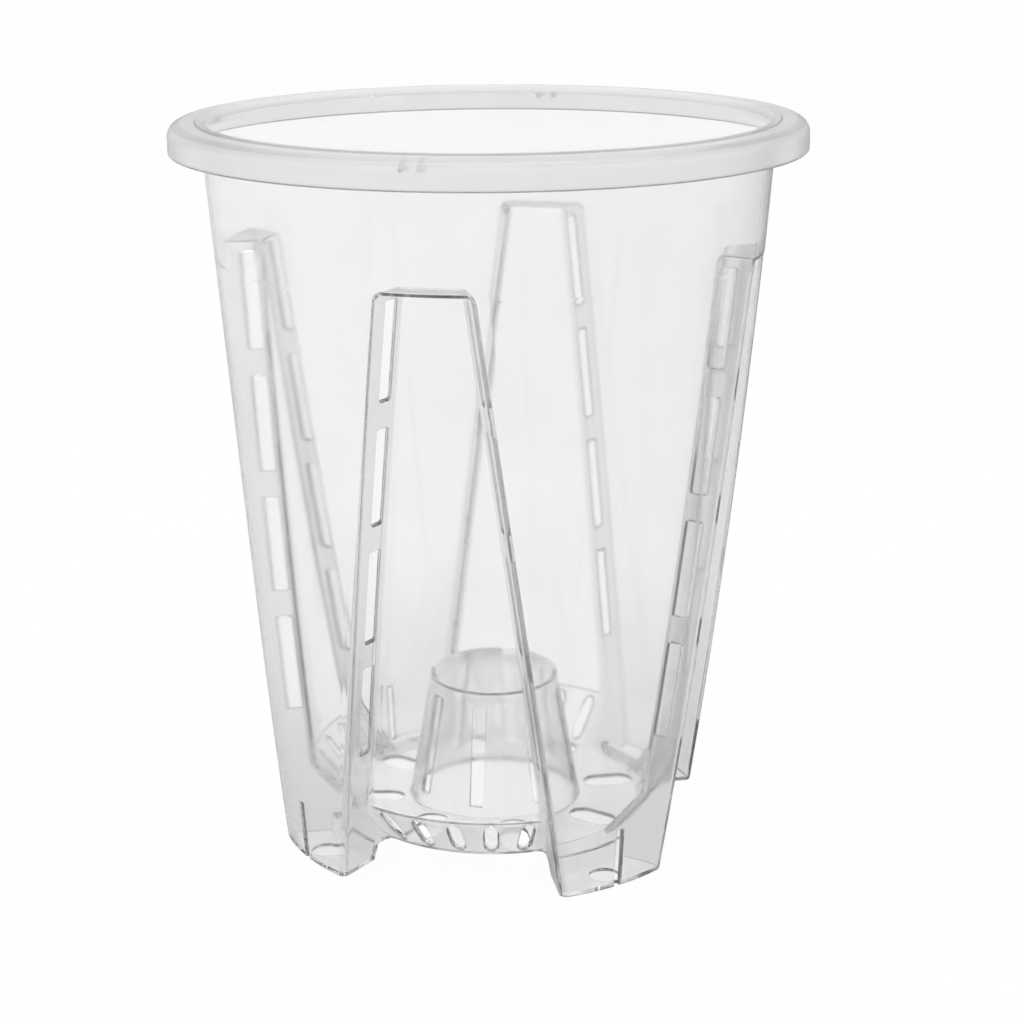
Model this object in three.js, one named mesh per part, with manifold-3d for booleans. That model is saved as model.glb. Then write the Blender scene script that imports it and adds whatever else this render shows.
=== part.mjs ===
// A clear round pot that prunes roots with air. The tapered wall hangs from a rolled lip, four A-shaped
// recesses are pressed into it, and the four hollow legs left between them carry a raised floor with a
// slotted cone in the middle. Millimetres, +Z up, standing on z = 0 with the axis on Z and a recess
// facing each of -Y, +X, +Y and -X.
import * as THREE from "three";
import { mergeVertices } from "three/addons/utils/BufferGeometryUtils.js";
import Module from "manifold-3d";

// Overall sizes
const HEIGHT = 183;
const RIM_RADIUS = 77.5;
const FOOT_RADIUS = 56.3;
const LIP_OVERHANG = 8.1;
const WALL = 1.2;

// Gap left along every line where two neighbouring walls meet
const SEAM = 0.3;

// Rolled lip: its top web, the skirt that hangs from it and the rounds of its two top edges
const LIP_TOP = 2;
const SKIRT_HEIGHT = 7;
const SKIRT_WALL = 1.4;
const LIP_ROUND = 3;
const LIP_INNER_ROUND = 0.8;

// Pairs of stiffening ribs under the lip, one pair above each recess
const RIB_WIDTH = 0.9;
const RIB_SPACING = 4;
const RIB_LIFT = 2.2;

// A-shaped recesses: half widths are measured on the outer wall
const RECESS_DEPTH = 9;
const RECESS_TOP = 151.2;
const RECESS_HALF_FOOT = 27.4;
const RECESS_HALF_TOP = 10.9;
const RECESS_FLARE = 0.41;
const SHELF = 1.2;

// Air slots in the side walls of the recesses, from the shelf downwards
const SIDE_SLOTS = 4;
const SIDE_SLOT_HEIGHT = 23.8;
const SIDE_SLOT_WIDTH = 4.2;
const SIDE_SLOT_GAP = 6.8;
const SIDE_SLOT_MARGIN = 2.2;

// Raised floor with its ring of drain holes, which leave a strip of floor at both ends
const FLOOR_UNDERSIDE = 4.4;
const FLOOR = 1.5;
const FLOOR_HOLES = 8;
const FLOOR_HOLE_WIDTH = 6.6;
const FLOOR_HOLE_INNER_STRIP = 2;
const FLOOR_HOLE_OUTER_STRIP = 0.8;

// Sloping, slotted edge of the floor at the bottom of each recess: its radius is a share of the foot's
const EDGE_SHARE = 0.6785;
const EDGE_TOP = 17.3;
const EDGE_SLOTS = 5;
const EDGE_SLOT_PITCH = 11.5;
const EDGE_SLOT_LENGTH = 12.8;
const EDGE_SLOT_WIDTH = 3.8;

// Hollow feet: the step down from the floor, the plate with its drain and the slit in the outer wall
const STEP_SHARE = 0.7886;
const STEP_LEAN = 1.2;
const FOOT_PLATE = 1.5;
const DRAIN_DIAMETER = 7;
const DRAIN_SHARE = 0.8917;
const SLIT_WIDTH = 1.6;
const SLIT_HEIGHT = 15.6;

// Aeration cone: the radius of its base is a share of the foot's
const CONE_BASE_SHARE = 0.398;
const CONE_TAPER = 6;
const CONE_TOP = 39.3;
const CONE_CAP = 1.6;
const CONE_EDGE_ROUND = 1;
const CONE_SLOTS = 8;
const CONE_SLOT_WIDTH = 3.6;
const CONE_SLOT_FOOT = 3.6;
const CONE_SLOT_HEIGHT = 26;

// Fineness of the round surfaces
const TURN_STEPS = 64;
const ARC_STEPS = 2;
const SLOT_STEPS = 3;
const DRAIN_STEPS = 20;
const MERGE_DISTANCE = 1e-4;

// Looks
const CLEAR_PLASTIC = { color: 0xe6e9ea, roughness: 0.16, metalness: 0, transparent: true, opacity: 0.4 };
const MILKY_PLASTIC = { color: 0xdfe2e3, roughness: 0.28, metalness: 0, transparent: true, opacity: 0.6 };

// Sizes that follow from the ones above
const QUARTER = Math.PI / 2;
const skirtBottom = HEIGHT - SKIRT_HEIGHT;
const roundFoot = HEIGHT - LIP_ROUND;
const wallTop = HEIGHT - LIP_TOP;
const floorTop = FLOOR_UNDERSIDE + FLOOR;
const shelfTop = RECESS_TOP + SHELF;
const reach = RIM_RADIUS * 2;
const shoulderRadius = RIM_RADIUS - LIP_OVERHANG;
const edgeRadius = FOOT_RADIUS * EDGE_SHARE;
const stepRadius = FOOT_RADIUS * STEP_SHARE;
const drainRadius = FOOT_RADIUS * DRAIN_SHARE;
const coneBaseRadius = FOOT_RADIUS * CONE_BASE_SHARE;
const coneTopRadius = coneBaseRadius - CONE_TAPER;
const wallRadius = (z) => FOOT_RADIUS + ((shoulderRadius - FOOT_RADIUS) * z) / skirtBottom;
const panelRadius = (z) => wallRadius(z) - RECESS_DEPTH;

// Plan of a recess, seen along its own axis: each side wall is one plane
const footAlong = Math.sqrt(FOOT_RADIUS ** 2 - RECESS_HALF_FOOT ** 2);
const topAlong = Math.sqrt(wallRadius(RECESS_TOP) ** 2 - RECESS_HALF_TOP ** 2);
const sideLean =
  (RECESS_HALF_FOOT - RECESS_HALF_TOP + RECESS_FLARE * (topAlong - footAlong)) / RECESS_TOP;
const sideStretch = Math.hypot(1, RECESS_FLARE, sideLean);
const halfWidth = (along, z) => RECESS_HALF_FOOT + RECESS_FLARE * (along - footAlong) - sideLean * z;

// Place on the axis, well inside the wall, where the side planes are half as far apart as at the wall
const mouthHalf = (z) => RECESS_HALF_FOOT - ((RECESS_HALF_FOOT - RECESS_HALF_TOP) * z) / RECESS_TOP;
const narrowAlong = (z) => footAlong + (mouthHalf(z) / 2 - RECESS_HALF_FOOT + sideLean * z) / RECESS_FLARE;

// Slope of the floor's edge, and where its inner face meets the floor
const edgeRun = panelRadius(EDGE_TOP) - edgeRadius;
const edgeRise = EDGE_TOP - FLOOR_UNDERSIDE;
const edgeSlope = Math.atan2(edgeRise, edgeRun);
const edgeInnerRadius = (z) =>
  edgeRadius + (z - FLOOR_UNDERSIDE) / Math.tan(edgeSlope) - WALL / Math.sin(edgeSlope);
const floorRadius = edgeInnerRadius(floorTop);
const edgeJoin = findEdgeJoin();

const wasm = await Module();
wasm.setup();

// Height where the inner face of the sloping edge runs into the inner face of the recess panel
function findEdgeJoin() {
  const wallGrowth = wallRadius(1) - wallRadius(0);
  const edgeGrowth = edgeInnerRadius(1) - edgeInnerRadius(0);
  return (panelRadius(0) - WALL - edgeInnerRadius(0)) / (edgeGrowth - wallGrowth);
}

// Closed three.js geometry as a solid that can be cut and joined
function solid(geometry) {
  geometry.deleteAttribute("normal");
  geometry.deleteAttribute("uv");
  const shared = mergeVertices(geometry, MERGE_DISTANCE);
  const corners = shared.index.array;
  const outward = [];
  const inward = [];
  for (let i = 0; i < corners.length; i += 3) {
    const [a, b, c] = corners.subarray(i, i + 3);
    if (a === b || b === c || c === a) continue;
    outward.push(a, b, c);
    inward.push(a, c, b);
  }
  const vertProperties = new Float32Array(shared.attributes.position.array);
  const make = (faces) =>
    new wasm.Manifold(new wasm.Mesh({ numProp: 3, vertProperties, triVerts: new Uint32Array(faces) }));
  const body = make(outward);
  return body.volume() > 0 ? body : make(inward);
}

// Solid as a three.js geometry
function geometryOf(body) {
  const mesh = body.getMesh();
  const geometry = new THREE.BufferGeometry();
  geometry.setAttribute("position", new THREE.BufferAttribute(new Float32Array(mesh.vertProperties), 3));
  geometry.setIndex(new THREE.BufferAttribute(new Uint32Array(mesh.triVerts), 1));
  geometry.computeVertexNormals();
  return geometry;
}

// Body of revolution about Z from a list of [radius, height] points or of path points
function turned(points) {
  const outline = points.map((p) => (Array.isArray(p) ? new THREE.Vector2(p[0], p[1]) : p));
  const closes = outline[0].x > 0 || outline[outline.length - 1].x > 0;
  const loop = closes ? [...outline, outline[0].clone()] : outline;
  return solid(new THREE.LatheGeometry(loop, TURN_STEPS).rotateX(QUARTER));
}

// Tapered block on a recess axis: between its two side planes, pushed apart by a distance
function recessBlock(pushed, low, high) {
  const geometry = new THREE.BoxGeometry(2, 2, 2);
  const corner = geometry.attributes.position;
  for (let i = 0; i < corner.count; i++) {
    const z = corner.getZ(i) < 0 ? low : high;
    const along = corner.getX(i) < 0 ? narrowAlong(z) : reach;
    const across = halfWidth(along, z) + pushed * sideStretch;
    corner.setXYZ(i, along, Math.sign(corner.getY(i)) * across, z);
  }
  return solid(geometry);
}

// Box from its centre and sizes
function box(centre, size) {
  return solid(new THREE.BoxGeometry(...size).translate(...centre));
}

// Outline with two straight sides and round ends, long along X
function roundEndedShape(length, width) {
  const half = (length - width) / 2;
  const shape = new THREE.Shape();
  shape.absarc(half, 0, width / 2, -QUARTER, QUARTER);
  shape.absarc(-half, 0, width / 2, QUARTER, 3 * QUARTER);
  return shape;
}

// Round-ended cutter, long along X and standing along Z about the origin
function slotCutter(length, width, depth) {
  const shape = roundEndedShape(length, width);
  const options = { depth, bevelEnabled: false, curveSegments: SLOT_STEPS };
  return new THREE.ExtrudeGeometry(shape, options).translate(0, 0, -depth / 2);
}

// Everything inside the outer wall, and everything inside the inner face of recess panel and floor edge
const wallBody = () => turned([[0, 0], [FOOT_RADIUS, 0], [wallRadius(HEIGHT), HEIGHT], [0, HEIGHT]]);
const innerCore = () =>
  turned([
    [0, -SEAM],
    [floorRadius, -SEAM],
    [floorRadius, floorTop],
    [edgeInnerRadius(edgeJoin), edgeJoin],
    [panelRadius(HEIGHT) - WALL, HEIGHT],
    [0, HEIGHT],
  ]);

// Open space under the floor, inside the feet
const underFloor = () =>
  turned([
    [0, -SEAM],
    [stepRadius, -SEAM],
    [stepRadius, 0],
    [stepRadius - STEP_LEAN, FLOOR_UNDERSIDE],
    [0, FLOOR_UNDERSIDE],
  ]);

// Ring of wall between two heights
function wallRing(low, high) {
  return turned([
    [wallRadius(low) - WALL, low],
    [wallRadius(low), low],
    [wallRadius(high), high],
    [wallRadius(high) - WALL, high],
  ]);
}

function rimLip() {
  const inner = wallRadius(wallTop) - WALL;
  const outline = new THREE.Path();
  outline.moveTo(inner, wallTop);
  outline.lineTo(inner, HEIGHT - LIP_INNER_ROUND);
  outline.absarc(inner + LIP_INNER_ROUND, HEIGHT - LIP_INNER_ROUND, LIP_INNER_ROUND, Math.PI, QUARTER, true);
  outline.absarc(RIM_RADIUS - LIP_ROUND, roundFoot, LIP_ROUND, QUARTER, 0, true);
  outline.lineTo(RIM_RADIUS - SKIRT_WALL, roundFoot);
  const hollow = { across: LIP_ROUND - SKIRT_WALL, up: LIP_ROUND - LIP_TOP };
  outline.absellipse(RIM_RADIUS - LIP_ROUND, roundFoot, hollow.across, hollow.up, 0, QUARTER);
  return turned(outline.getPoints(ARC_STEPS));
}

function rimSkirt() {
  return turned([
    [RIM_RADIUS - SKIRT_WALL, skirtBottom],
    [RIM_RADIUS, skirtBottom],
    [RIM_RADIUS, roundFoot - SEAM],
    [RIM_RADIUS - SKIRT_WALL, roundFoot - SEAM],
  ]);
}

// Rib between wall and skirt, on the +X axis
function rimRib() {
  const inner = (z) => wallRadius(z) + SEAM;
  const outer = RIM_RADIUS - SKIRT_WALL - SEAM;
  const low = skirtBottom + RIB_LIFT;
  const top = wallTop - SEAM;
  const shape = new THREE.Shape([
    new THREE.Vector2(inner(low), low),
    new THREE.Vector2(outer, low),
    new THREE.Vector2(outer, roundFoot - SEAM),
    new THREE.Vector2(RIM_RADIUS - LIP_ROUND, top),
    new THREE.Vector2(inner(top), top),
  ]);
  const plate = new THREE.ExtrudeGeometry(shape, { depth: RIB_WIDTH, bevelEnabled: false });
  return solid(plate.translate(0, 0, -RIB_WIDTH / 2).rotateX(QUARTER));
}

function upperWall() {
  return wallRing(shelfTop + SEAM, wallTop - SEAM);
}

function recessShelf() {
  const slab = recessBlock(WALL, RECESS_TOP, shelfTop);
  return slab.intersect(wallBody()).subtract(innerCore());
}

function recessPanel() {
  const low = EDGE_TOP + SEAM;
  const high = RECESS_TOP - SEAM;
  const ring = turned([
    [panelRadius(low) - WALL, low],
    [panelRadius(low), low],
    [panelRadius(high), high],
    [panelRadius(high) - WALL, high],
  ]);
  return ring.intersect(recessBlock(-SEAM, 0, RECESS_TOP));
}

// Slot cutter for one side wall: it follows the slope of the panel that it runs along
function sideSlot(top) {
  const geometry = new THREE.BoxGeometry(2, 2, 2);
  const corner = geometry.attributes.position;
  for (let i = 0; i < corner.count; i++) {
    const z = corner.getZ(i) < 0 ? top - SIDE_SLOT_HEIGHT : top;
    const across = halfWidth(panelRadius(z), z);
    const face = Math.sqrt(panelRadius(z) ** 2 - across ** 2);
    const along = corner.getX(i) < 0 ? face : face + SIDE_SLOT_WIDTH;
    corner.setXYZ(i, along, corner.getY(i) * (across + 2 * SIDE_SLOT_WIDTH), z);
  }
  return solid(geometry);
}

// One of the two side walls of a recess: side is +1 or -1
function recessSide(side) {
  const half = box([reach / 2, (side * reach) / 2, HEIGHT / 2], [2 * reach, reach, 2 * HEIGHT]);
  const plates = recessBlock(WALL, 0, RECESS_TOP - SEAM).subtract(recessBlock(0, -SEAM, RECESS_TOP));
  let plate = plates.intersect(half).intersect(wallBody()).subtract(innerCore()).subtract(underFloor());
  for (let i = 0; i < SIDE_SLOTS; i++) {
    const top = RECESS_TOP - SIDE_SLOT_MARGIN - i * (SIDE_SLOT_HEIGHT + SIDE_SLOT_GAP);
    plate = plate.subtract(sideSlot(top));
  }
  return plate;
}

function floorEdge() {
  const ring = turned([
    [floorRadius, FLOOR_UNDERSIDE],
    [edgeRadius, FLOOR_UNDERSIDE],
    [panelRadius(EDGE_TOP), EDGE_TOP],
    [edgeInnerRadius(EDGE_TOP), EDGE_TOP],
    [floorRadius, floorTop],
  ]);
  let edge = ring.intersect(recessBlock(-SEAM, 0, RECESS_TOP));
  const middle = [(edgeRadius + panelRadius(EDGE_TOP)) / 2, (FLOOR_UNDERSIDE + EDGE_TOP) / 2];
  for (let i = 0; i < EDGE_SLOTS; i++) {
    const turn = THREE.MathUtils.degToRad((i - (EDGE_SLOTS - 1) / 2) * EDGE_SLOT_PITCH);
    const cutter = slotCutter(EDGE_SLOT_LENGTH, EDGE_SLOT_WIDTH, 4 * WALL).rotateY(-edgeSlope);
    edge = edge.subtract(solid(cutter.translate(middle[0], 0, middle[1]).rotateZ(turn)));
  }
  return edge;
}

// Keeps the part of a ring that belongs to the leg on the +X axis, between the recesses beside it
function betweenRecesses(ring) {
  const quarter = new THREE.BoxGeometry(reach, reach, 2 * HEIGHT).rotateZ(QUARTER / 2);
  const beside = (turn) =>
    solid(geometryOf(recessBlock(WALL + SEAM, -SEAM, shelfTop + SEAM)).rotateZ(turn));
  const sector = ring.intersect(solid(quarter.translate(reach / Math.SQRT2, 0, 0)));
  return sector.subtract(beside(QUARTER / 2)).subtract(beside(-QUARTER / 2));
}

function legWall() {
  const slit = slotCutter(2 * SLIT_HEIGHT, SLIT_WIDTH, 8 * WALL).rotateY(QUARTER);
  return betweenRecesses(wallRing(0, shelfTop)).subtract(solid(slit.translate(FOOT_RADIUS, 0, 0)));
}

function footCup() {
  const outer = FOOT_RADIUS - WALL - SEAM;
  const ring = turned([
    [floorRadius, FLOOR_UNDERSIDE],
    [stepRadius - STEP_LEAN, FLOOR_UNDERSIDE],
    [stepRadius, 0],
    [outer, 0],
    [outer, FOOT_PLATE],
    [stepRadius + WALL, FOOT_PLATE],
    [stepRadius - STEP_LEAN + WALL, floorTop],
    [floorRadius, floorTop],
  ]);
  const drain = DRAIN_DIAMETER / 2;
  const cutter = new THREE.CylinderGeometry(drain, drain, 4 * FOOT_PLATE, DRAIN_STEPS).rotateX(QUARTER);
  return betweenRecesses(ring).subtract(solid(cutter.translate(drainRadius, 0, FOOT_PLATE / 2)));
}

function floorPlate() {
  const opening = coneBaseRadius - WALL;
  const outer = floorRadius - SEAM;
  let plate = turned([
    [opening, FLOOR_UNDERSIDE],
    [outer, FLOOR_UNDERSIDE],
    [outer, floorTop],
    [opening, floorTop],
  ]);
  const start = coneBaseRadius + FLOOR_HOLE_INNER_STRIP;
  const end = floorRadius - FLOOR_HOLE_OUTER_STRIP;
  for (let i = 0; i < FLOOR_HOLES; i++) {
    const turn = ((i + 0.5) / FLOOR_HOLES) * 2 * Math.PI;
    const cutter = slotCutter(end - start, FLOOR_HOLE_WIDTH, 4 * FLOOR);
    plate = plate.subtract(solid(cutter.translate((start + end) / 2, 0, floorTop).rotateZ(turn)));
  }
  return plate;
}

function coneWall() {
  const low = floorTop + SEAM;
  const high = CONE_TOP - CONE_CAP - SEAM;
  const growth = (coneTopRadius - coneBaseRadius) / (CONE_TOP - floorTop);
  const radius = (z) => coneBaseRadius + growth * (z - floorTop);
  let cone = turned([
    [radius(low) - WALL, low],
    [radius(low), low],
    [radius(high), high],
    [radius(high) - WALL, high],
  ]);
  const middle = low + CONE_SLOT_FOOT + CONE_SLOT_HEIGHT / 2;
  for (let i = 0; i < CONE_SLOTS; i++) {
    const turn = (i / CONE_SLOTS) * 2 * Math.PI;
    const cutter = slotCutter(CONE_SLOT_HEIGHT, CONE_SLOT_WIDTH, coneBaseRadius).rotateY(QUARTER);
    cone = cone.subtract(solid(cutter.translate(coneBaseRadius, 0, middle).rotateZ(turn)));
  }
  return cone;
}

function coneCap() {
  const low = CONE_TOP - CONE_CAP;
  const outline = new THREE.Path();
  outline.moveTo(0, low);
  outline.lineTo(coneTopRadius, low);
  outline.absarc(coneTopRadius - CONE_EDGE_ROUND, CONE_TOP - CONE_EDGE_ROUND, CONE_EDGE_ROUND, 0, QUARTER);
  outline.lineTo(0, CONE_TOP);
  return turned(outline.getPoints(ARC_STEPS));
}

// One named mesh with a material of its own
function piece(name, body, look) {
  const mesh = new THREE.Mesh(geometryOf(body), new THREE.MeshStandardMaterial(look));
  mesh.name = name;
  return mesh;
}

const pot = new THREE.Group();
pot.add(piece("rim_lip", rimLip(), MILKY_PLASTIC));
pot.add(piece("rim_skirt", rimSkirt(), MILKY_PLASTIC));
pot.add(piece("upper_wall", upperWall(), CLEAR_PLASTIC));
pot.add(piece("floor_plate", floorPlate(), CLEAR_PLASTIC));
pot.add(piece("cone_wall", coneWall(), CLEAR_PLASTIC));
pot.add(piece("cone_cap", coneCap(), CLEAR_PLASTIC));

["right", "back", "left", "front"].forEach((side, i) => {
  const recess = new THREE.Group();
  recess.rotation.z = i * QUARTER;
  recess.add(piece(`recess_shelf_${side}`, recessShelf(), CLEAR_PLASTIC));
  recess.add(piece(`recess_panel_${side}`, recessPanel(), CLEAR_PLASTIC));
  recess.add(piece(`recess_side_${side}_a`, recessSide(-1), CLEAR_PLASTIC));
  recess.add(piece(`recess_side_${side}_b`, recessSide(1), CLEAR_PLASTIC));
  recess.add(piece(`floor_edge_${side}`, floorEdge(), CLEAR_PLASTIC));
  ["a", "b"].forEach((letter, j) => {
    const rib = piece(`rim_rib_${side}_${letter}`, rimRib(), MILKY_PLASTIC);
    rib.position.y = (j - 0.5) * RIB_SPACING;
    recess.add(rib);
  });
  pot.add(recess);
});

["back_right", "back_left", "front_left", "front_right"].forEach((corner, i) => {
  const leg = new THREE.Group();
  leg.rotation.z = (i + 0.5) * QUARTER;
  leg.add(piece(`leg_wall_${corner}`, legWall(), CLEAR_PLASTIC));
  leg.add(piece(`foot_cup_${corner}`, footCup(), CLEAR_PLASTIC));
  pot.add(leg);
});

export default pot;
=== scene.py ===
import math

import bpy
import numpy as np
from mathutils import Matrix, Vector


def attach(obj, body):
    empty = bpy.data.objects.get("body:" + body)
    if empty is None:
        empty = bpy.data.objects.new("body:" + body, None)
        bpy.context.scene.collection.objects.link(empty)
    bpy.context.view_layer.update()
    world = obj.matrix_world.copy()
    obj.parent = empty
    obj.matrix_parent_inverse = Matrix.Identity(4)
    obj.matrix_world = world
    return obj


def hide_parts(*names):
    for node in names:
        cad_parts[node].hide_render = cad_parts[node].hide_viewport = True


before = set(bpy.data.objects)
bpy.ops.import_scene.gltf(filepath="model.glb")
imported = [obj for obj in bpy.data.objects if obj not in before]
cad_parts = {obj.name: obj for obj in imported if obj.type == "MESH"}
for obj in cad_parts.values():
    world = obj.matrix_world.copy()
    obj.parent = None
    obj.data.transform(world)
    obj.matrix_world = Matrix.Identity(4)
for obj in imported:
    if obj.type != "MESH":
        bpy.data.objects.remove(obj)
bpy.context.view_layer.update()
scene = bpy.context.scene

# Sizes of the pot in millimetres, as the solids have them. EDGE_SLOT_PITCH is in degrees
HEIGHT = 183.0
RIM_RADIUS = 77.5
FOOT_RADIUS = 56.3
SHOULDER_RADIUS = 69.4
WALL = 1.2
LIP_TOP = 2.0
SKIRT_HEIGHT = 7.0
SKIRT_WALL = 1.4
LIP_ROUND = 3.0
LIP_INNER_ROUND = 0.8
RIB_WIDTH = 0.9
RIB_SPACING = 4.0
RECESS_DEPTH = 9.0
RECESS_TOP = 151.2
RECESS_HALF_FOOT = 27.4
RECESS_HALF_TOP = 10.9
RECESS_FLARE = 0.41
SIDE_SLOTS = 4
SIDE_SLOT_HEIGHT = 23.8
SIDE_SLOT_GAP = 6.8
SIDE_SLOT_MARGIN = 2.2
FLOOR_UNDERSIDE = 4.4
FLOOR_HOLES = 8
EDGE_RADIUS = 38.2
EDGE_TOP = 17.3
EDGE_SLOTS = 5
EDGE_SLOT_PITCH = 11.5
EDGE_SLOT_LENGTH = 12.8
STEP_RADIUS = 44.4
STEP_LEAN = 1.2
DRAIN_RADIUS = 50.2
SLIT_WIDTH = 1.6
SLIT_HEIGHT = 15.6
CONE_BASE_RADIUS = 22.4
CONE_TOP_RADIUS = 16.4
CONE_TOP = 39.3
CONE_SLOTS = 8
CONE_SLOT_WIDTH = 3.6
CONE_SLOT_HEIGHT = 26.0

# Sizes that differ from the solids: thinner plates, slots with room for a bevel, wider holes, shorter ribs
RIB_LIFT = 3.6
SIDE_SLOT_WIDTH = 3.6
SHELF = 0.6
FLOOR = 1.0
FLOOR_HOLE_LENGTH = 13.2
FLOOR_HOLE_WIDTH = 7.2
FLOOR_HOLE_RADIUS = 30.75
EDGE_SLOT_WIDTH = 3.1
FOOT_PLATE = 0.9
DRAIN_DIAMETER = 7.6
CONE_CAP = 1.2
CONE_EDGE_ROUND = 0.5
CONE_SLOT_FOOT = 3.9

# Rounds, bevels and trim that only the moulded surface has
PANEL_CORNER_ROUND = 0.8
EDGE_CORNER_ROUND = 2.0
LEG_CORNER_ROUND = 0.5
FOOT_CORNER_ROUND = 1.7
LEAST_ROUND = 0.2
SHELF_LEAST_ROUND = 0.15
SHELF_ROUND = 0.5
SHELF_EDGE_ROUND = 0.1
FOOT_ROUND = 0.4
FOOT_INSIDE_ROUND = 0.4
EDGE_BLEND = 0.6
EDGE_FADE = 6
# Half the height of the painted dark line of shade along the top of the floor edge
EDGE_PAINTED_SHADE_LINE = 0.3
LIP_BEAD = 2.0
LIP_STEP = 0.4
SKIRT_DROP = 0.4
SKIRT_EDGE_ROUND = 0.35
SLOT_ROUND = 0.6
SLOT_START = 0.7
SLOT_SKEW = 0.45
BEVEL = 0.3
EDGE_SLOT_BEVEL = 0.5
EDGE_SLOT_END = 2
SLIT_BEVEL = 0.35
SLIT_ROUND = 0.3
CONE_BASE_ROUND = 0.3
CONE_HOLLOW_ROUND = 0.3
CONE_SLOT_ROUND = 0.4

# Overlaps where pieces meet, and the reach of cutters into a wall and clear of it
JOIN = 0.03
RIM_JOIN = 0.2
FLOOR_JOIN_BACK = 0.6
RIB_BITE = 0.5
RIB_CLEARANCE = 0.3
CUT_BELOW = 1
CUT_ABOVE = 0.5
SIDE_SLOT_REACH = 3
SIDE_SLOT_CLEAR = 2.5
OPENING_CLEAR = 3
EDGE_SLOT_REACH = 4
SLIT_REACH = 1.6
DRAIN_REACH = 4
FLOOR_HOLE_REACH = 8
CONE_SLOT_REACH = 22

# Angles in degrees: where the lip's band of painted shade starts, and the sharpest edge that is shaded smooth
LIP_PAINTED_SHADE_BAND = 48
SMOOTH_ANGLE = 28

# Fineness of the surfaces
TURN = 256
PANEL_STEPS, SIDE_STEPS, LEG_STEPS, ROUND_STEPS = 12, 8, 14, 5

# Sizes that follow from these
FLOOR_TOP = FLOOR_UNDERSIDE + FLOOR
SKIRT_BOTTOM = HEIGHT - SKIRT_HEIGHT
WALL_TOP = HEIGHT - LIP_TOP
SHELF_TOP = RECESS_TOP + SHELF
WALL_LEAN = math.atan2(SHOULDER_RADIUS - FOOT_RADIUS, SKIRT_BOTTOM)
FLOOR_JOIN = EDGE_RADIUS - FLOOR_JOIN_BACK

# The looks that faces of a piece take: plain, edge with a painted dark line of shade, rounded corner with
# painted shade, rougher side of a recess with painted shade, its panel, slit with painted dark shade
PLAIN, EDGE_PAINTED_SHADE, CORNER_PAINTED_SHADE, DULL_SIDE_PAINTED_SHADE, FACE, SLIT_PAINTED_SHADE = range(6)


def wall_radius(z):
    return FOOT_RADIUS + (SHOULDER_RADIUS - FOOT_RADIUS) * z / SKIRT_BOTTOM


def panel_radius(z):
    return wall_radius(z) - RECESS_DEPTH


FOOT_ALONG = math.sqrt(FOOT_RADIUS**2 - RECESS_HALF_FOOT**2)
TOP_ALONG = math.sqrt(wall_radius(RECESS_TOP) ** 2 - RECESS_HALF_TOP**2)
SIDE_LEAN = (RECESS_HALF_FOOT - RECESS_HALF_TOP + RECESS_FLARE * (TOP_ALONG - FOOT_ALONG)) / RECESS_TOP
PLAN_STRETCH = math.hypot(1, RECESS_FLARE)
EDGE_SLOPE = math.atan2(EDGE_TOP - FLOOR_UNDERSIDE, panel_radius(EDGE_TOP) - EDGE_RADIUS)


def half_width(along, z):
    return RECESS_HALF_FOOT + RECESS_FLARE * (along - FOOT_ALONG) - SIDE_LEAN * z


def edge_radius(z):
    return EDGE_RADIUS + (z - FLOOR_UNDERSIDE) / math.tan(EDGE_SLOPE)


def cone_radius(z):
    return CONE_BASE_RADIUS + (CONE_TOP_RADIUS - CONE_BASE_RADIUS) * (z - FLOOR_TOP) / (CONE_TOP - FLOOR_TOP)


def soft_min(a, b, blend):
    h = max(blend - abs(a - b), 0) / blend
    return min(a, b) - h * h * blend / 4


# Shapes: each is a list of points in millimetres, a list of faces and the look of each face

def loft(rows, look=PLAIN):
    """Closed solid through loops of equal length, from the lowest to the highest.

    look is one look, or one per row and column.
    """
    rows = [np.asarray(r, float) for r in rows]
    n = len(rows[0])
    looks = np.broadcast_to(look, (len(rows) - 1, n))
    faces = [list(range(n))[::-1]]
    marks = [int(looks[0, 0])]
    for i in range(len(rows) - 1):
        a, b = i * n, (i + 1) * n
        faces += [[a + j, a + (j + 1) % n, b + (j + 1) % n, b + j] for j in range(n)]
        marks += looks[i].tolist()
    faces.append([(len(rows) - 1) * n + j for j in range(n)])
    marks.append(int(looks[-1, 0]))
    return np.concatenate(rows), faces, marks


def circle(radius, z, count=TURN):
    angle = np.arange(count) * 2 * math.pi / count
    return np.stack([radius * np.cos(angle), radius * np.sin(angle), np.full(count, z)], 1)


def turned(profile, looks):
    """Ring from a closed counter-clockwise profile of (radius, height), with one look per side."""
    n = len(profile)
    points = np.concatenate([circle(r, z) for r, z in profile])
    faces, marks = [], []
    for i in range(n):
        a, b = i * TURN, (i + 1) % n * TURN
        faces += [[a + j, a + (j + 1) % TURN, b + (j + 1) % TURN, b + j] for j in range(TURN)]
        marks += [looks[i]] * TURN
    return points, faces, marks


def gathered(shapes):
    """Several separate solids as one shape."""
    points, faces, marks = [], [], []
    count = 0
    for p, f, m in shapes:
        points.append(p)
        faces += [[count + i for i in face] for face in f]
        marks += m
        count += len(p)
    return np.concatenate(points), faces, marks


def arc(cx, cz, radius, start, end, steps, radius_up=None):
    up = radius if radius_up is None else radius_up
    angles = np.radians(np.linspace(start, end, steps + 1))
    return [(cx + radius * math.cos(a), cz + up * math.sin(a)) for a in angles]


def capsule(length, width, end=1.0, steps=12):
    """Slot outline along X. end is the length of a rounded end as a share of half the width."""
    side = width / 2
    half = length / 2 - end * side
    return arc(half, 0, end * side, -90, 90, steps, side) + arc(-half, 0, end * side, 90, 270, steps, side)


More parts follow.
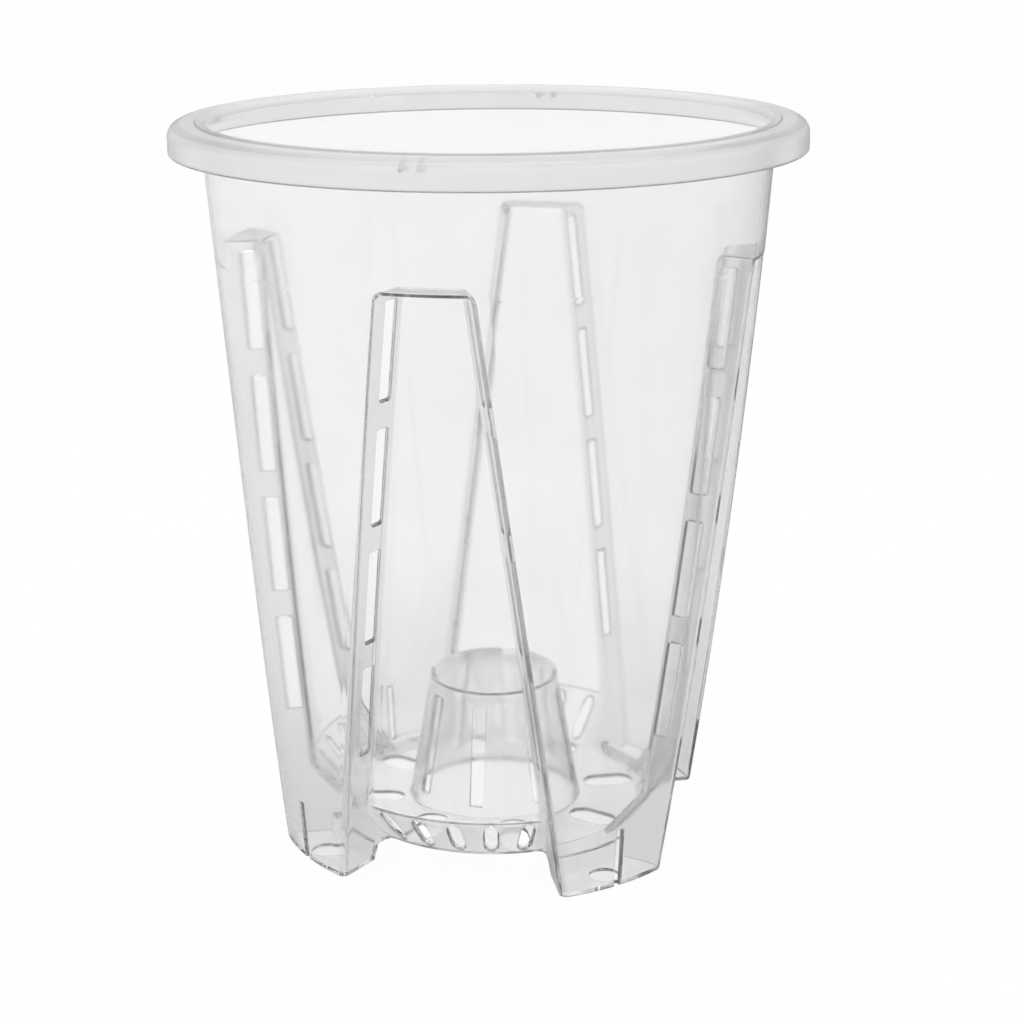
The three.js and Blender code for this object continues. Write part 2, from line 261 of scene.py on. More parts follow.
def rounded_box(length, width, radius, steps=4):
    x, y = length / 2 - radius, width / 2 - radius
    corners = ((0, x, y), (90, -x, y), (180, -x, -y), (270, x, -y))
    return [p for start, cx, cy in corners for p in arc(cx, cy, radius, start, start + 90, steps)]


def prism(outline, depth, place, look=EDGE_PAINTED_SHADE):
    """Outline in XY, standing on both sides of Z, moved by a matrix. Its sides take the painted dark shade of
    the edge look unless another look is given.
    """
    levels = [[place @ Vector((x, y, side * depth / 2)) for x, y in outline] for side in (-1, 1)]
    return loft(levels, look)


def spin(degrees):
    return Matrix.Rotation(math.radians(degrees), 4, "Z")


def shift(x, y, z):
    return Matrix.Translation((x, y, z))


def tip(angle, axis):
    return Matrix.Rotation(angle, 4, axis)


# Objects

def made(name, shape, looks):
    points, faces, marks = shape
    mesh = bpy.data.meshes.new(name)
    mesh.from_pydata((np.asarray(points) * 0.001).tolist(), [], faces)
    for look in looks:
        mesh.materials.append(look)
    mesh.polygons.foreach_set("material_index", marks)
    result = bpy.data.objects.new(name, mesh)
    scene.collection.objects.link(result)
    return result


def combined(body, shape, operation):
    """Cuts a shape out of an object, or joins it to it."""
    other = made("tool", shape, body.data.materials)
    step = body.modifiers.new("step", "BOOLEAN")
    step.operation = operation
    step.solver = "MANIFOLD"
    step.object = other
    bpy.context.view_layer.update()
    mesh = bpy.data.meshes.new_from_object(body.evaluated_get(bpy.context.evaluated_depsgraph_get()))
    body.modifiers.clear()
    body.data = mesh
    bpy.data.objects.remove(other)
    return body


# Cross-section of the wall with its four recesses

def on_side_line(radius, offset, z):
    """Point where a circle about the axis meets a recess side line that is moved outward by an offset."""
    c = half_width(0, z) + offset
    f = RECESS_FLARE
    x = (-f * c + math.sqrt((f * c) ** 2 - (1 + f * f) * (c * c - radius * radius))) / (1 + f * f)
    return np.array([x, f * x + c])


def foot_on_line(point, offset, z):
    direction = np.array([1, RECESS_FLARE]) / PLAN_STRETCH
    start = np.array([0, half_width(0, z) + offset])
    return start + direction * np.dot(point - start, direction)


def arc_between(centre, a, b, steps):
    first = math.atan2(*(a - centre)[::-1])
    last = math.atan2(*(b - centre)[::-1])
    turn = (last - first + math.pi) % (2 * math.pi) - math.pi
    radius = np.linalg.norm(a - centre)
    angles = first + turn * np.linspace(0, 1, steps + 1)
    return np.stack([centre[0] + radius * np.cos(angles), centre[1] + radius * np.sin(angles)], 1)


def wedge(z, panel, wall, moved, panel_round, leg_round):
    """From the middle of a recess to the middle of a leg: panel, round, side wall, round, leg."""
    c1 = on_side_line(panel + panel_round, (moved - panel_round) * PLAN_STRETCH, z)
    c2 = on_side_line(wall - leg_round, (moved + leg_round) * PLAN_STRETCH, z)
    a1, b1 = c1 / np.linalg.norm(c1) * panel, foot_on_line(c1, moved * PLAN_STRETCH, z)
    a2, b2 = foot_on_line(c2, moved * PLAN_STRETCH, z), c2 / np.linalg.norm(c2) * wall
    middle = np.array([math.cos(math.pi / 4), math.sin(math.pi / 4)]) * wall
    axis = np.zeros(2)
    return np.concatenate([
        arc_between(axis, np.array([panel, 0]), a1, PANEL_STEPS)[:-1],
        arc_between(c1, a1, b1, ROUND_STEPS)[:-1],
        b1 + (a2 - b1) * np.linspace(0, 1, SIDE_STEPS + 1)[:-1, None],
        arc_between(c2, a2, b2, ROUND_STEPS)[:-1],
        arc_between(axis, b2, middle, LEG_STEPS),
    ])


# How far each point of the wedge belongs to the recess
IN_RECESS = np.concatenate([
    np.ones(PANEL_STEPS + ROUND_STEPS + SIDE_STEPS),
    np.linspace(1, 0, ROUND_STEPS + 1),
    np.zeros(LEG_STEPS),
])

# The strip that each face of a loop is in: panel, panel corner, side wall, leg corner or leg
STRIPS = np.repeat([0, 1, 2, 3, 4], [PANEL_STEPS, ROUND_STEPS, SIDE_STEPS, ROUND_STEPS, LEG_STEPS])
STRIP_OF = np.tile(np.concatenate([STRIPS, STRIPS[::-1]]), 4)


def around(part):
    """Whole loop from one eighth of it, given as rows of x, y, z."""
    x, y, z = np.concatenate([part, part[-2:0:-1][:, [1, 0, 2]]]).T
    turns = ((x, y), (-y, x), (-x, -y), (y, -x))
    return np.concatenate([np.stack([a, b, z], 1) for a, b in turns])


def lifted(plan, z):
    return np.column_stack([plan, np.full(len(plan), z)])


def skin(inside):
    """Solid up to the outer or the inner face of the wall, from the feet to under the lip."""
    thick = WALL if inside else 0.0
    ceiling = SHELF_TOP if inside else RECESS_TOP
    bottom = FOOT_PLATE if inside else 0.0
    level = FLOOR_TOP if inside else FLOOR_UNDERSIDE
    foot_round = FOOT_INSIDE_ROUND if inside else FOOT_ROUND
    shelf_round = SHELF_ROUND + thick
    edge_round = SHELF_EDGE_ROUND
    edge_back = thick / math.sin(EDGE_SLOPE)

    def leg_corner(z):
        share = max(1 - z / RECESS_TOP, 0)
        return max(LEG_CORNER_ROUND + (FOOT_CORNER_ROUND - LEG_CORNER_ROUND) * share - thick, LEAST_ROUND)

    def section(z, pushed=0.0):
        panel = panel_radius(z) - thick
        low = min(max((EDGE_TOP + EDGE_FADE - z) / EDGE_TOP, 0), 1)
        if low > 0:
            panel = soft_min(panel, edge_radius(max(z, level)) - edge_back, EDGE_BLEND)
        corner = PANEL_CORNER_ROUND + (EDGE_CORNER_ROUND - PANEL_CORNER_ROUND) * low + thick
        return wedge(z, panel - pushed, wall_radius(z) - thick - pushed, thick + pushed, corner + pushed,
                     max(leg_corner(z) - pushed, LEAST_ROUND))

    rows, looks = [], []

    def add(row, strip_looks):
        """One more loop of points, with the look of each strip from this loop up to the next."""
        rows.append(around(row))
        looks.append(np.array(strip_looks)[STRIP_OF])

    # Looks of panel, panel corner, side wall, leg corner and leg, from the foot upwards. The edge, corner and
    # side looks are painted shade: dark lines along edges, grey corners and greyer recess sides
    if inside:
        foot = slope = brink = walls = (FACE, DULL_SIDE_PAINTED_SHADE, DULL_SIDE_PAINTED_SHADE, PLAIN, PLAIN)
        shelf, shelf_edge = (CORNER_PAINTED_SHADE, CORNER_PAINTED_SHADE, CORNER_PAINTED_SHADE, PLAIN, PLAIN), walls
    else:
        foot = (FACE, PLAIN, EDGE_PAINTED_SHADE, EDGE_PAINTED_SHADE, EDGE_PAINTED_SHADE)
        slope = (DULL_SIDE_PAINTED_SHADE, DULL_SIDE_PAINTED_SHADE, DULL_SIDE_PAINTED_SHADE, CORNER_PAINTED_SHADE, PLAIN)
        brink = (EDGE_PAINTED_SHADE, DULL_SIDE_PAINTED_SHADE, DULL_SIDE_PAINTED_SHADE, CORNER_PAINTED_SHADE, PLAIN)
        walls = (FACE, DULL_SIDE_PAINTED_SHADE, DULL_SIDE_PAINTED_SHADE, CORNER_PAINTED_SHADE, PLAIN)
        shelf = shelf_edge = (DULL_SIDE_PAINTED_SHADE, DULL_SIDE_PAINTED_SHADE, DULL_SIDE_PAINTED_SHADE, PLAIN, PLAIN)
    for a in np.radians(np.linspace(0, 90, 6)[:-1]):
        z = bottom + foot_round * (1 - math.cos(a))
        add(lifted(section(z, foot_round * (1 - math.sin(a))), z), foot)
    for z in (bottom + foot_round, *np.linspace(level, EDGE_TOP - EDGE_PAINTED_SHADE_LINE, 14)[:-1]):
        add(lifted(section(z), z), slope)
    # A painted dark line of shade on the outer panel along the top of the floor edge
    for z in EDGE_TOP + EDGE_PAINTED_SHADE_LINE * np.linspace(-1, 1, 5)[:-1]:
        add(lifted(section(z), z), brink)
    for z in np.linspace(EDGE_TOP + EDGE_PAINTED_SHADE_LINE, ceiling - shelf_round, 40):
        add(lifted(section(z), z), walls)

    # Round between panel and shelf, the shelf, and the round of its outer edge
    recess = []
    for a in np.radians([22, 45, 68, 90]):
        z = ceiling - shelf_round * (1 - math.sin(a))
        pushed = -shelf_round * (1 - math.cos(a))
        plan = wedge(z, panel_radius(z) - thick - pushed, wall_radius(z) - thick, thick + pushed,
                     max(PANEL_CORNER_ROUND + thick + pushed, SHELF_LEAST_ROUND), leg_corner(z))
        recess.append((plan, z, walls))
    last = recess[-1][0]
    from_axis = np.linalg.norm(last, axis=1)
    direction = last / from_axis[:, None]
    reach = wall_radius(ceiling) - thick - edge_round
    for s in np.linspace(0, 1, 6)[1:]:
        recess.append((direction * (from_axis + (reach - from_axis) * s)[:, None], ceiling, shelf))
    for a in (22, 45, 68, 90):
        turn = math.radians(a)
        radius = wall_radius(ceiling) - thick - edge_round * (1 - math.sin(turn))
        recess.append((direction * radius, ceiling + edge_round * (1 - math.cos(turn)), shelf_edge))
    heights = np.linspace(ceiling - shelf_round, ceiling + edge_round, len(recess) + 1)[1:]
    for (plan, z, strip_looks), leg_z in zip(recess, heights):
        leg = lifted(direction * (wall_radius(leg_z) - thick), leg_z)
        share = IN_RECESS[:, None]
        add(lifted(plan, z) * share + leg * (1 - share), strip_looks)
    looks[-1] = np.full(len(STRIP_OF), PLAIN)

    top = HEIGHT if inside else WALL_TOP - JOIN
    for z in np.linspace(ceiling + edge_round, top, 9)[1:]:
        add(lifted(direction * (wall_radius(z) - thick), z), [PLAIN] * 5)
    return loft(rows, np.array(looks[:-1]))


def mouth(deep):
    """Looks of a cutter's rows: the deep part of the hole, its bevel with a painted dark line of shade, and
    the air in front of it.
    """
    return np.array([[deep], [EDGE_PAINTED_SHADE], [PLAIN]])


def side_slot(top, side, turn):
    """Cutter for one air slot in a side wall of a recess: it follows the slope of the panel."""
    normal = Vector((-RECESS_FLARE, 1, SIDE_LEAN)).normalized()
    levels = []
    for depth, wider in ((SIDE_SLOT_REACH, 0), (BEVEL, 0), (0, BEVEL), (-SIDE_SLOT_CLEAR, BEVEL)):
        level = []
        width, height = SIDE_SLOT_WIDTH + 2 * wider, SIDE_SLOT_HEIGHT + 2 * wider
        for u, v in rounded_box(width, height, SLOT_ROUND + wider):
            z = top - SIDE_SLOT_HEIGHT / 2 + v
            start = on_side_line(panel_radius(z), 0, z)[0] + SLOT_START
            along = start + SIDE_SLOT_WIDTH / 2 + u - SLOT_SKEW * max(depth, 0)
            x, y, z = Vector((along, half_width(along, z), z)) + normal * depth
            level.append(spin(turn) @ Vector((x, side * y, z)))
        levels.append(level[::side])
    # The deep sides of the slot take the rougher look of a recess side, with its painted shade
    return loft(levels, mouth(DULL_SIDE_PAINTED_SHADE))


def opening(outline, bevel, depth, deep, place):
    """Cutter for a bevelled hole in a wall with its outer face at Z = 0 and its inside at positive Z.

    outline is a function of how much wider the hole is there.
    """
    steps = ((-OPENING_CLEAR, bevel), (0, bevel), (bevel, 0), (depth, 0))
    levels = [[place @ Vector((x, y, z)) for x, y in outline(2 * wider)] for z, wider in steps]
    return loft(levels, mouth(deep)[::-1])


def edge_slot(growth):
    return capsule(EDGE_SLOT_LENGTH + growth, EDGE_SLOT_WIDTH + growth, EDGE_SLOT_END)


def slit(growth):
    return rounded_box(2 * SLIT_HEIGHT + growth, SLIT_WIDTH + growth, SLIT_ROUND)


def wall_cutters():
    cutters = []
    for turn in (0, 90, 180, 270):
        for i in range(SIDE_SLOTS):
            top = RECESS_TOP - SIDE_SLOT_MARGIN - i * (SIDE_SLOT_HEIGHT + SIDE_SLOT_GAP)
            cutters += [side_slot(top, side, turn) for side in (1, -1)]
        middle = ((EDGE_RADIUS + panel_radius(EDGE_TOP)) / 2, 0, (FLOOR_UNDERSIDE + EDGE_TOP) / 2)
        for i in range(EDGE_SLOTS):
            aside = (i - (EDGE_SLOTS - 1) / 2) * EDGE_SLOT_PITCH
            place = spin(turn + aside) @ shift(*middle) @ tip(-EDGE_SLOPE, "Y")
            # The sides of an edge slot take the rougher look of a recess side, with its painted shade
            cutters.append(opening(edge_slot, EDGE_SLOT_BEVEL, EDGE_SLOT_REACH, DULL_SIDE_PAINTED_SHADE, place))
        leg = spin(turn + 45)
        place = leg @ shift(FOOT_RADIUS, 0, 0) @ tip(WALL_LEAN - math.pi / 2, "Y")
        # The inside of the slit takes a painted dark shade
        cutters.append(opening(slit, SLIT_BEVEL, SLIT_REACH, SLIT_PAINTED_SHADE, place))
        drain = arc(0, 0, DRAIN_DIAMETER / 2, 0, 360, 40)[:-1]
        cutters.append(prism(drain, DRAIN_REACH, leg @ shift(DRAIN_RADIUS, 0, 0)))
    return gathered(cutters)


def make_wall(looks):
    wall = made("pot_wall", skin(False), looks)
    under = [(STEP_RADIUS + STEP_LEAN / FLOOR_UNDERSIDE * CUT_BELOW, -CUT_BELOW), (STEP_RADIUS, 0),
             (STEP_RADIUS - STEP_LEAN, FLOOR_UNDERSIDE)]
    combined(wall, loft([circle(*p) for p in under]), "DIFFERENCE")
    step = STEP_RADIUS + WALL
    hollow = made("hollow", skin(True), looks)
    block = [(step, -CUT_BELOW), (step, FOOT_PLATE), (step - STEP_LEAN, FLOOR_TOP)]
    combined(hollow, loft([circle(*p) for p in block]), "DIFFERENCE")
    mesh = hollow.data
    points = np.array([v.co for v in mesh.vertices]) * 1000
    faces = [list(p.vertices) for p in mesh.polygons]
    combined(wall, (points, faces, [p.material_index for p in mesh.polygons]), "DIFFERENCE")
    bpy.data.objects.remove(hollow)
    middle = [circle(FLOOR_JOIN + JOIN, z) for z in (-CUT_BELOW, FLOOR_TOP + CUT_ABOVE)]
    combined(wall, loft(middle), "DIFFERENCE")
    return combined(wall, wall_cutters(), "DIFFERENCE")


def make_floor(looks):
    """Raised floor and aeration cone, which are one moulding."""
    e, b = CONE_EDGE_ROUND, CONE_BASE_ROUND
    outside = [(FLOOR_JOIN, FLOOR_UNDERSIDE), (FLOOR_JOIN, FLOOR_TOP)]
    outside += arc(CONE_BASE_RADIUS + b, FLOOR_TOP + b, b, 270, 190, 4)
    outside += [(cone_radius(z), z) for z in np.linspace(FLOOR_TOP + b, CONE_TOP - e, 12)[1:]]
    outside += arc(cone_radius(CONE_TOP - e) - e, CONE_TOP - e, e, 0, 90, 5)[1:]
    floor = made("pot_floor", loft([circle(*p) for p in outside]), looks)
    top, h = CONE_TOP - CONE_CAP, CONE_HOLLOW_ROUND
    hollow = [(cone_radius(z) - WALL, z) for z in np.linspace(FLOOR_UNDERSIDE - CUT_BELOW, top - h, 12)]
    hollow += arc(cone_radius(top) - WALL - h, top - h, h, 0, 90, 3)[1:]
    combined(floor, loft([circle(*p) for p in hollow]), "DIFFERENCE")
    cutters = []
    for i in range(FLOOR_HOLES):
        place = spin((i + 0.5) * 360 / FLOOR_HOLES) @ shift(FLOOR_HOLE_RADIUS, 0, FLOOR_TOP)
        cutters.append(prism(capsule(FLOOR_HOLE_LENGTH, FLOOR_HOLE_WIDTH), FLOOR_HOLE_REACH, place))
    middle = FLOOR_TOP + CONE_SLOT_FOOT + CONE_SLOT_HEIGHT / 2
    for i in range(CONE_SLOTS):
        place = spin(i * 360 / CONE_SLOTS) @ shift(CONE_BASE_RADIUS, 0, middle) @ tip(math.pi / 2, "Y")
        outline = rounded_box(CONE_SLOT_HEIGHT, CONE_SLOT_WIDTH, CONE_SLOT_ROUND)
        # The slots' sides take the corner look's painted shade
        cutters.append(prism(outline, CONE_SLOT_REACH, place, CORNER_PAINTED_SHADE))
    return combined(floor, gathered(cutters), "DIFFERENCE")


def make_rim(looks):
    """Rolled lip with its skirt, and the ribs under it above each recess."""
    inner = wall_radius(WALL_TOP) - WALL
    e = SKIRT_EDGE_ROUND
    low = SKIRT_BOTTOM - SKIRT_DROP + e
    top = HEIGHT - LIP_STEP
    middle = (RIM_RADIUS - LIP_ROUND, top - LIP_ROUND)
    # The skirt's bottom edge and the bead's step take a painted dark line of shade, and the upper part of the
    # lip's outer round a band of painted shade
    parts = [
        ([(inner, WALL_TOP), (wall_radius(WALL_TOP) + RIM_JOIN, WALL_TOP)], PLAIN),
        (arc(*middle, LIP_ROUND - SKIRT_WALL, 90, 0, 6, WALL_TOP - middle[1]), PLAIN),
        (arc(RIM_RADIUS - SKIRT_WALL + e, low, e, 180, 270, 3), EDGE_PAINTED_SHADE),
        (arc(RIM_RADIUS - e, low, e, 270, 360, 3), EDGE_PAINTED_SHADE),
        (arc(*middle, LIP_ROUND, 0, LIP_PAINTED_SHADE_BAND, 8)[:-1], PLAIN),
        (arc(*middle, LIP_ROUND, LIP_PAINTED_SHADE_BAND, 90, 8), CORNER_PAINTED_SHADE),
        ([(inner + LIP_BEAD + LIP_STEP, top), (inner + LIP_BEAD, HEIGHT)], EDGE_PAINTED_SHADE),
        (arc(inner + LIP_INNER_ROUND, HEIGHT - LIP_INNER_ROUND, LIP_INNER_ROUND, 90, 180, 6), PLAIN),
    ]
    profile = [p for points, look in parts for p in points]
    marks = [look if i + 1 < len(points) else PLAIN for points, look in parts for i in range(len(points))]
    rim = made("pot_rim", turned(profile, marks), looks)
    low, outer = SKIRT_BOTTOM + RIB_LIFT, RIM_RADIUS - SKIRT_WALL - RIB_CLEARANCE
    outline = [(wall_radius(low) + JOIN, low), (outer, low), (outer, middle[1]),
               (middle[0], WALL_TOP + RIB_BITE), (wall_radius(WALL_TOP) + JOIN, WALL_TOP + RIB_BITE)]
    ribs = []
    for turn in (0, 90, 180, 270):
        for side in (-0.5, 0.5):
            place = spin(turn) @ shift(0, side * RIB_SPACING, 0) @ tip(math.pi / 2, "X")
            ribs.append(prism(outline, RIB_WIDTH, place, PLAIN))
    return combined(rim, gathered(ribs), "UNION")


# Materials

# Heights in metres between which the tint of the foot fades out
FOOT_TINT = (0.01, 0.06)

# Scale and detail of the haze and of the flow marks, and the height of the flow marks in metres
HAZE_SCALE, HAZE_DETAIL = 38, 4
FLOW_SCALE, FLOW_DETAIL = 16, 2
FLOW_STRENGTH, FLOW_HEIGHT = 0.08, 0.001

# Share of the colour in the haze, where the haze starts and ends, and the spread of the roughness
HAZE_SHADE = 0.97
HAZE_START, HAZE_END = 0.3, 0.75
ROUGH_LOW, ROUGH_HIGH = 0.7, 1.3

# Index of refraction of the clear walls and of the milky lip
CLEAR_BEND, MILKY_BEND = 1.49, 1.12


def node(tree, kind, **values):
    result = tree.nodes.new(kind)
    for key, value in values.items():
        setattr(result, key, value)
    return result


def plastic(name, colour, foot, transmission, rough, bend=CLEAR_BEND):
    """Clear moulded plastic: faint haze and flow in colour and gloss, and greyer towards the bottom."""
    material = bpy.data.materials.new(name)
    material.use_nodes = True
    tree = material.node_tree
    link = tree.links.new
    shader = tree.nodes["Principled BSDF"]
    place = node(tree, "ShaderNodeTexCoord")
    haze = node(tree, "ShaderNodeTexNoise")
    haze.inputs["Scale"].default_value = HAZE_SCALE
    haze.inputs["Detail"].default_value = HAZE_DETAIL
    link(place.outputs["Object"], haze.inputs["Vector"])
    tone = node(tree, "ShaderNodeValToRGB")
    hazy, clear = tone.color_ramp.elements
    hazy.position, clear.position = HAZE_START, HAZE_END
    hazy.color = (*[c * HAZE_SHADE for c in colour], 1)
    clear.color = (*colour, 1)
    link(haze.outputs["Fac"], tone.inputs["Fac"])
    axes = node(tree, "ShaderNodeSeparateXYZ")
    link(place.outputs["Object"], axes.inputs["Vector"])
    height = node(tree, "ShaderNodeMapRange", interpolation_type="SMOOTHSTEP")
    height.inputs["From Min"].default_value, height.inputs["From Max"].default_value = FOOT_TINT
    height.inputs["To Min"].default_value = foot
    link(axes.outputs["Z"], height.inputs["Value"])
    tint = node(tree, "ShaderNodeMix", data_type="RGBA", blend_type="MULTIPLY")
    tint.inputs["Factor"].default_value = 1
    link(tone.outputs["Color"], tint.inputs["A"])
    link(height.outputs["Result"], tint.inputs["B"])
    link(tint.outputs["Result"], shader.inputs["Base Color"])
    gloss = node(tree, "ShaderNodeMapRange")
    gloss.inputs["To Min"].default_value = rough * ROUGH_LOW
    gloss.inputs["To Max"].default_value = rough * ROUGH_HIGH
    link(haze.outputs["Fac"], gloss.inputs["Value"])
    link(gloss.outputs["Result"], shader.inputs["Roughness"])
    flow = node(tree, "ShaderNodeTexNoise")
    flow.inputs["Scale"].default_value = FLOW_SCALE
    flow.inputs["Detail"].default_value = FLOW_DETAIL
    link(place.outputs["Object"], flow.inputs["Vector"])
    bump = node(tree, "ShaderNodeBump")
    bump.inputs["Strength"].default_value = FLOW_STRENGTH
    bump.inputs["Distance"].default_value = FLOW_HEIGHT
    link(flow.outputs["Fac"], bump.inputs["Height"])
    link(bump.outputs["Normal"], shader.inputs["Normal"])
    shader.inputs["Transmission Weight"].default_value = transmission
    shader.inputs["IOR"].default_value = bend
    return material


# One material for each look of a piece: colour, share of it at the foot, transmission and roughness. The grey
# and dark colours of the edge, corner, side, slit and band looks are painted shade
EDGE_PAINTED_SHADE_CLEAR = plastic("clear_plastic_edge_painted_shade", (0.38, 0.385, 0.39), 1, 0.93, 0.12)
CORNER_PAINTED_SHADE_CLEAR = plastic("clear_plastic_corner_painted_shade", (0.71, 0.712, 0.715), 1, 0.96, 0.09)
WALL_LOOKS = (plastic("clear_plastic", (0.985, 0.987, 0.99), 0.89, 0.975, 0.06), EDGE_PAINTED_SHADE_CLEAR, CORNER_PAINTED_SHADE_CLEAR,
              plastic("clear_plastic_side_painted_shade", (0.875, 0.877, 0.88), 0.96, 0.96, 0.12),
              plastic("clear_plastic_panel", (0.992, 0.993, 0.995), 0.99, 0.98, 0.06),
              plastic("clear_plastic_slit_painted_shade", (0.12, 0.122, 0.125), 1, 0.9, 0.12))
FLOOR_LOOKS = (plastic("clear_plastic_floor", (0.98, 0.982, 0.985), 0.99, 0.97, 0.13),
               EDGE_PAINTED_SHADE_CLEAR, CORNER_PAINTED_SHADE_CLEAR)
RIM_LOOKS = (plastic("milky_plastic", (0.9, 0.902, 0.905), 1, 0.9, 0.3, MILKY_BEND),
             plastic("milky_plastic_edge_painted_shade", (0.45, 0.455, 0.46), 1, 0.9, 0.3, MILKY_BEND),
             plastic("milky_plastic_band_painted_shade", (0.68, 0.682, 0.685), 1, 0.9, 0.3, MILKY_BEND))


def finished(piece, slot, *nodes):
    mesh = piece.data
    mesh.polygons.foreach_set("use_smooth", [True] * len(mesh.polygons))
    mesh.set_sharp_from_angle(angle=math.radians(SMOOTH_ANGLE))
    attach(piece, "root")
    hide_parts(*nodes)


def named(*starts):
    return [n for n in sorted(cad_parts) if n.startswith(starts)]


finished(make_wall(WALL_LOOKS), "clear_plastic",
         *named("upper_wall", "leg_wall", "recess_", "floor_edge", "foot_cup"))
finished(make_floor(FLOOR_LOOKS), "clear_plastic", *named("floor_plate", "cone_"))
finished(make_rim(RIM_LOOKS), "milky_plastic", *named("rim_"))


# Floor and world: white where the camera sees them, straight or through the plastic

# Tones of paper, card and room. The ground is in millimetres, the card's reach and the lamps' aim in metres
PAPER_TONE, PAPER_GLOW = 0.88, 0.96
CARD_LEFT, CARD_RIGHT = 0.75, 0.02
CARD_REACH = 0.5
GROUND_RADIUS, GROUND_TOP, GROUND_BOTTOM = 6000, -0.2, -10.2
ROOM_TONE = 0.75
CEILING_START, CEILING_FULL = 0.0, 0.3
LAMP_AIM = Vector((0, 0, 0.09))


def is_seen(tree):
    path = node(tree, "ShaderNodeLightPath")
    seen = node(tree, "ShaderNodeMath", operation="MAXIMUM")
    tree.links.new(path.outputs["Is Camera Ray"], seen.inputs[0])
    tree.links.new(path.outputs["Is Transmission Ray"], seen.inputs[1])
    return seen.outputs["Value"], path.outputs["Is Glossy Ray"]


def card_tone(tree, vector, reach):
    """Grey that falls from the left to the right, for what the plastic mirrors."""
    axes = node(tree, "ShaderNodeSeparateXYZ")
    tree.links.new(vector, axes.inputs["Vector"])
    fall = node(tree, "ShaderNodeMapRange")
    fall.inputs["From Min"].default_value, fall.inputs["From Max"].default_value = -reach, reach
    fall.inputs["To Min"].default_value, fall.inputs["To Max"].default_value = CARD_LEFT, CARD_RIGHT
    tree.links.new(axes.outputs["X"], fall.inputs["Value"])
    return fall.outputs["Result"]


def mixed(tree, factor, first, second):
    mix = node(tree, "ShaderNodeMixShader")
    tree.links.new(factor, mix.inputs["Fac"])
    tree.links.new(first, mix.inputs[1])
    tree.links.new(second, mix.inputs[2])
    return mix.outputs["Shader"]


def paper_material():
    """White paper that keeps shadows, with a grey card where the plastic mirrors it."""
    paper = bpy.data.materials.new("paper")
    paper.use_nodes = True
    tree = paper.node_tree
    tree.nodes.clear()
    matt = node(tree, "ShaderNodeBsdfDiffuse")
    matt.inputs["Color"].default_value = (PAPER_TONE, PAPER_TONE, PAPER_TONE, 1)
    glow = node(tree, "ShaderNodeEmission")
    card = node(tree, "ShaderNodeEmission")
    spot = node(tree, "ShaderNodeTexCoord")
    tree.links.new(card_tone(tree, spot.outputs["Object"], CARD_REACH), card.inputs["Color"])
    share = node(tree, "ShaderNodeMath", operation="MULTIPLY")
    share.inputs[1].default_value = PAPER_GLOW
    seen, glossy = is_seen(tree)
    tree.links.new(seen, share.inputs[0])
    output = node(tree, "ShaderNodeOutputMaterial")
    surface = mixed(tree, glossy, matt.outputs["BSDF"], card.outputs["Emission"])
    surface = mixed(tree, share.outputs["Value"], surface, glow.outputs["Emission"])
    tree.links.new(surface, output.inputs["Surface"])
    return paper


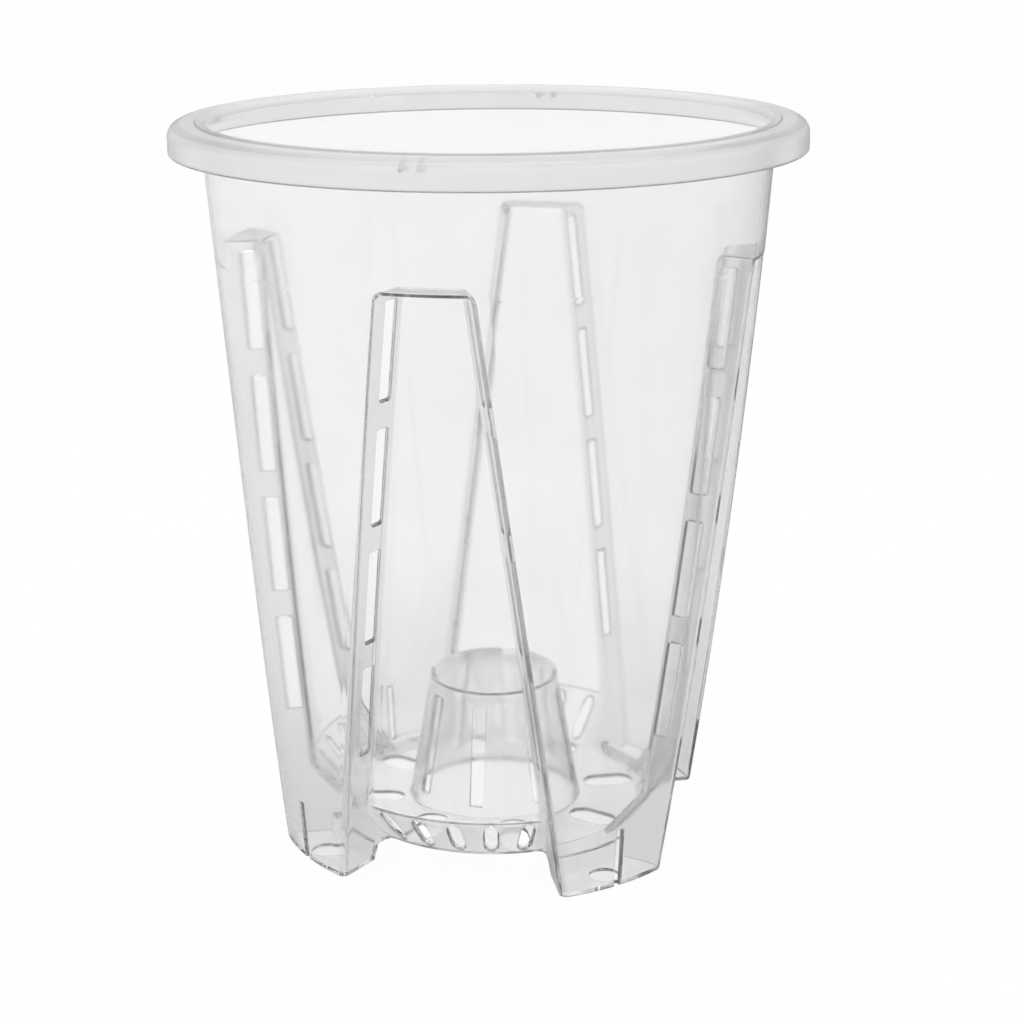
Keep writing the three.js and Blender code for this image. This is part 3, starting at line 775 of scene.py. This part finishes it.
def studio_world():
    """White to the camera, an even room for light, and a grey card under a white ceiling for reflections."""
    world = bpy.data.worlds.new("studio")
    world.use_nodes = True
    tree = world.node_tree
    tree.nodes.clear()
    lights = {}
    for name, tone in (("room", ROOM_TONE), ("mirrored", 1.0), ("seen", 1.0)):
        lights[name] = node(tree, "ShaderNodeBackground")
        lights[name].inputs["Color"].default_value = (tone, tone, tone, 1)
    way = node(tree, "ShaderNodeTexCoord")
    axes = node(tree, "ShaderNodeSeparateXYZ")
    tree.links.new(way.outputs["Generated"], axes.inputs["Vector"])
    ceiling = node(tree, "ShaderNodeMapRange", interpolation_type="SMOOTHSTEP")
    ceiling.inputs["From Min"].default_value = CEILING_START
    ceiling.inputs["From Max"].default_value = CEILING_FULL
    tree.links.new(axes.outputs["Z"], ceiling.inputs["Value"])
    overhead = node(tree, "ShaderNodeMix", data_type="FLOAT")
    overhead.inputs["B"].default_value = 1.0
    tree.links.new(ceiling.outputs["Result"], overhead.inputs["Factor"])
    tree.links.new(card_tone(tree, way.outputs["Generated"], 1), overhead.inputs["A"])
    tree.links.new(overhead.outputs["Result"], lights["mirrored"].inputs["Color"])
    seen, glossy = is_seen(tree)
    room, mirrored, white = (lights[name].outputs["Background"] for name in ("room", "mirrored", "seen"))
    shade = mixed(tree, seen, mixed(tree, glossy, room, mirrored), white)
    output = node(tree, "ShaderNodeOutputWorld")
    tree.links.new(shade, output.inputs["Surface"])
    return world


ground_loops = [circle(GROUND_RADIUS, z, 64) for z in (GROUND_BOTTOM, GROUND_TOP)]
ground = made("ground", loft(ground_loops), [paper_material()])
scene.world = studio_world()


def lamp(name, place, size, power):
    data = bpy.data.lights.new(name, "AREA")
    data.shape = "RECTANGLE"
    data.size, data.size_y = size
    data.energy = power
    result = bpy.data.objects.new(name, data)
    scene.collection.objects.link(result)
    result.location = place
    result.rotation_euler = (LAMP_AIM - Vector(place)).to_track_quat("-Z", "Y").to_euler()


lamp("key", (-0.7, -0.7, 1.0), (0.9, 0.9), 3)
lamp("fill", (0.9, -0.4, 0.6), (0.7, 0.9), 1.5)
lamp("top", (0, 0.1, 1.3), (1.0, 1.0), 6)

# Camera at the photograph's place, with angles in degrees, places in metres and the lens in millimetres
CAMERA_ANGLES = (0.540, 16.960, -0.381)
CAMERA_PLACE = Vector((0, -0.534396, 0.245097))
CAMERA_ORBIT = 12.864
FOCAL_LENGTH, SENSOR_WIDTH = 76.65, 36
YAW, PITCH, ROLL = (math.radians(a) for a in CAMERA_ANGLES)
forward = Vector((math.sin(YAW) * math.cos(PITCH), math.cos(YAW) * math.cos(PITCH), -math.sin(PITCH)))
sideways = Vector((math.cos(YAW), -math.sin(YAW), 0))
upward = sideways.cross(forward)
right = sideways * math.cos(ROLL) + upward * math.sin(ROLL)
up = upward * math.cos(ROLL) - sideways * math.sin(ROLL)
lens = bpy.data.cameras.new("camera")
lens.lens = FOCAL_LENGTH
lens.sensor_width = SENSOR_WIDTH
lens.clip_start, lens.clip_end = 0.01, 50
camera = bpy.data.objects.new("camera", lens)
scene.collection.objects.link(camera)
pose = Matrix((right, up, -forward)).transposed().to_4x4()
pose.translation = CAMERA_PLACE
camera.matrix_world = spin(CAMERA_ORBIT) @ pose
scene.camera = camera
scene.view_settings.view_transform = "Standard"

# Light passes through many thin walls before it reaches the camera
scene.cycles.max_bounces = 32
scene.cycles.transmission_bounces = 32
scene.cycles.glossy_bounces = 12
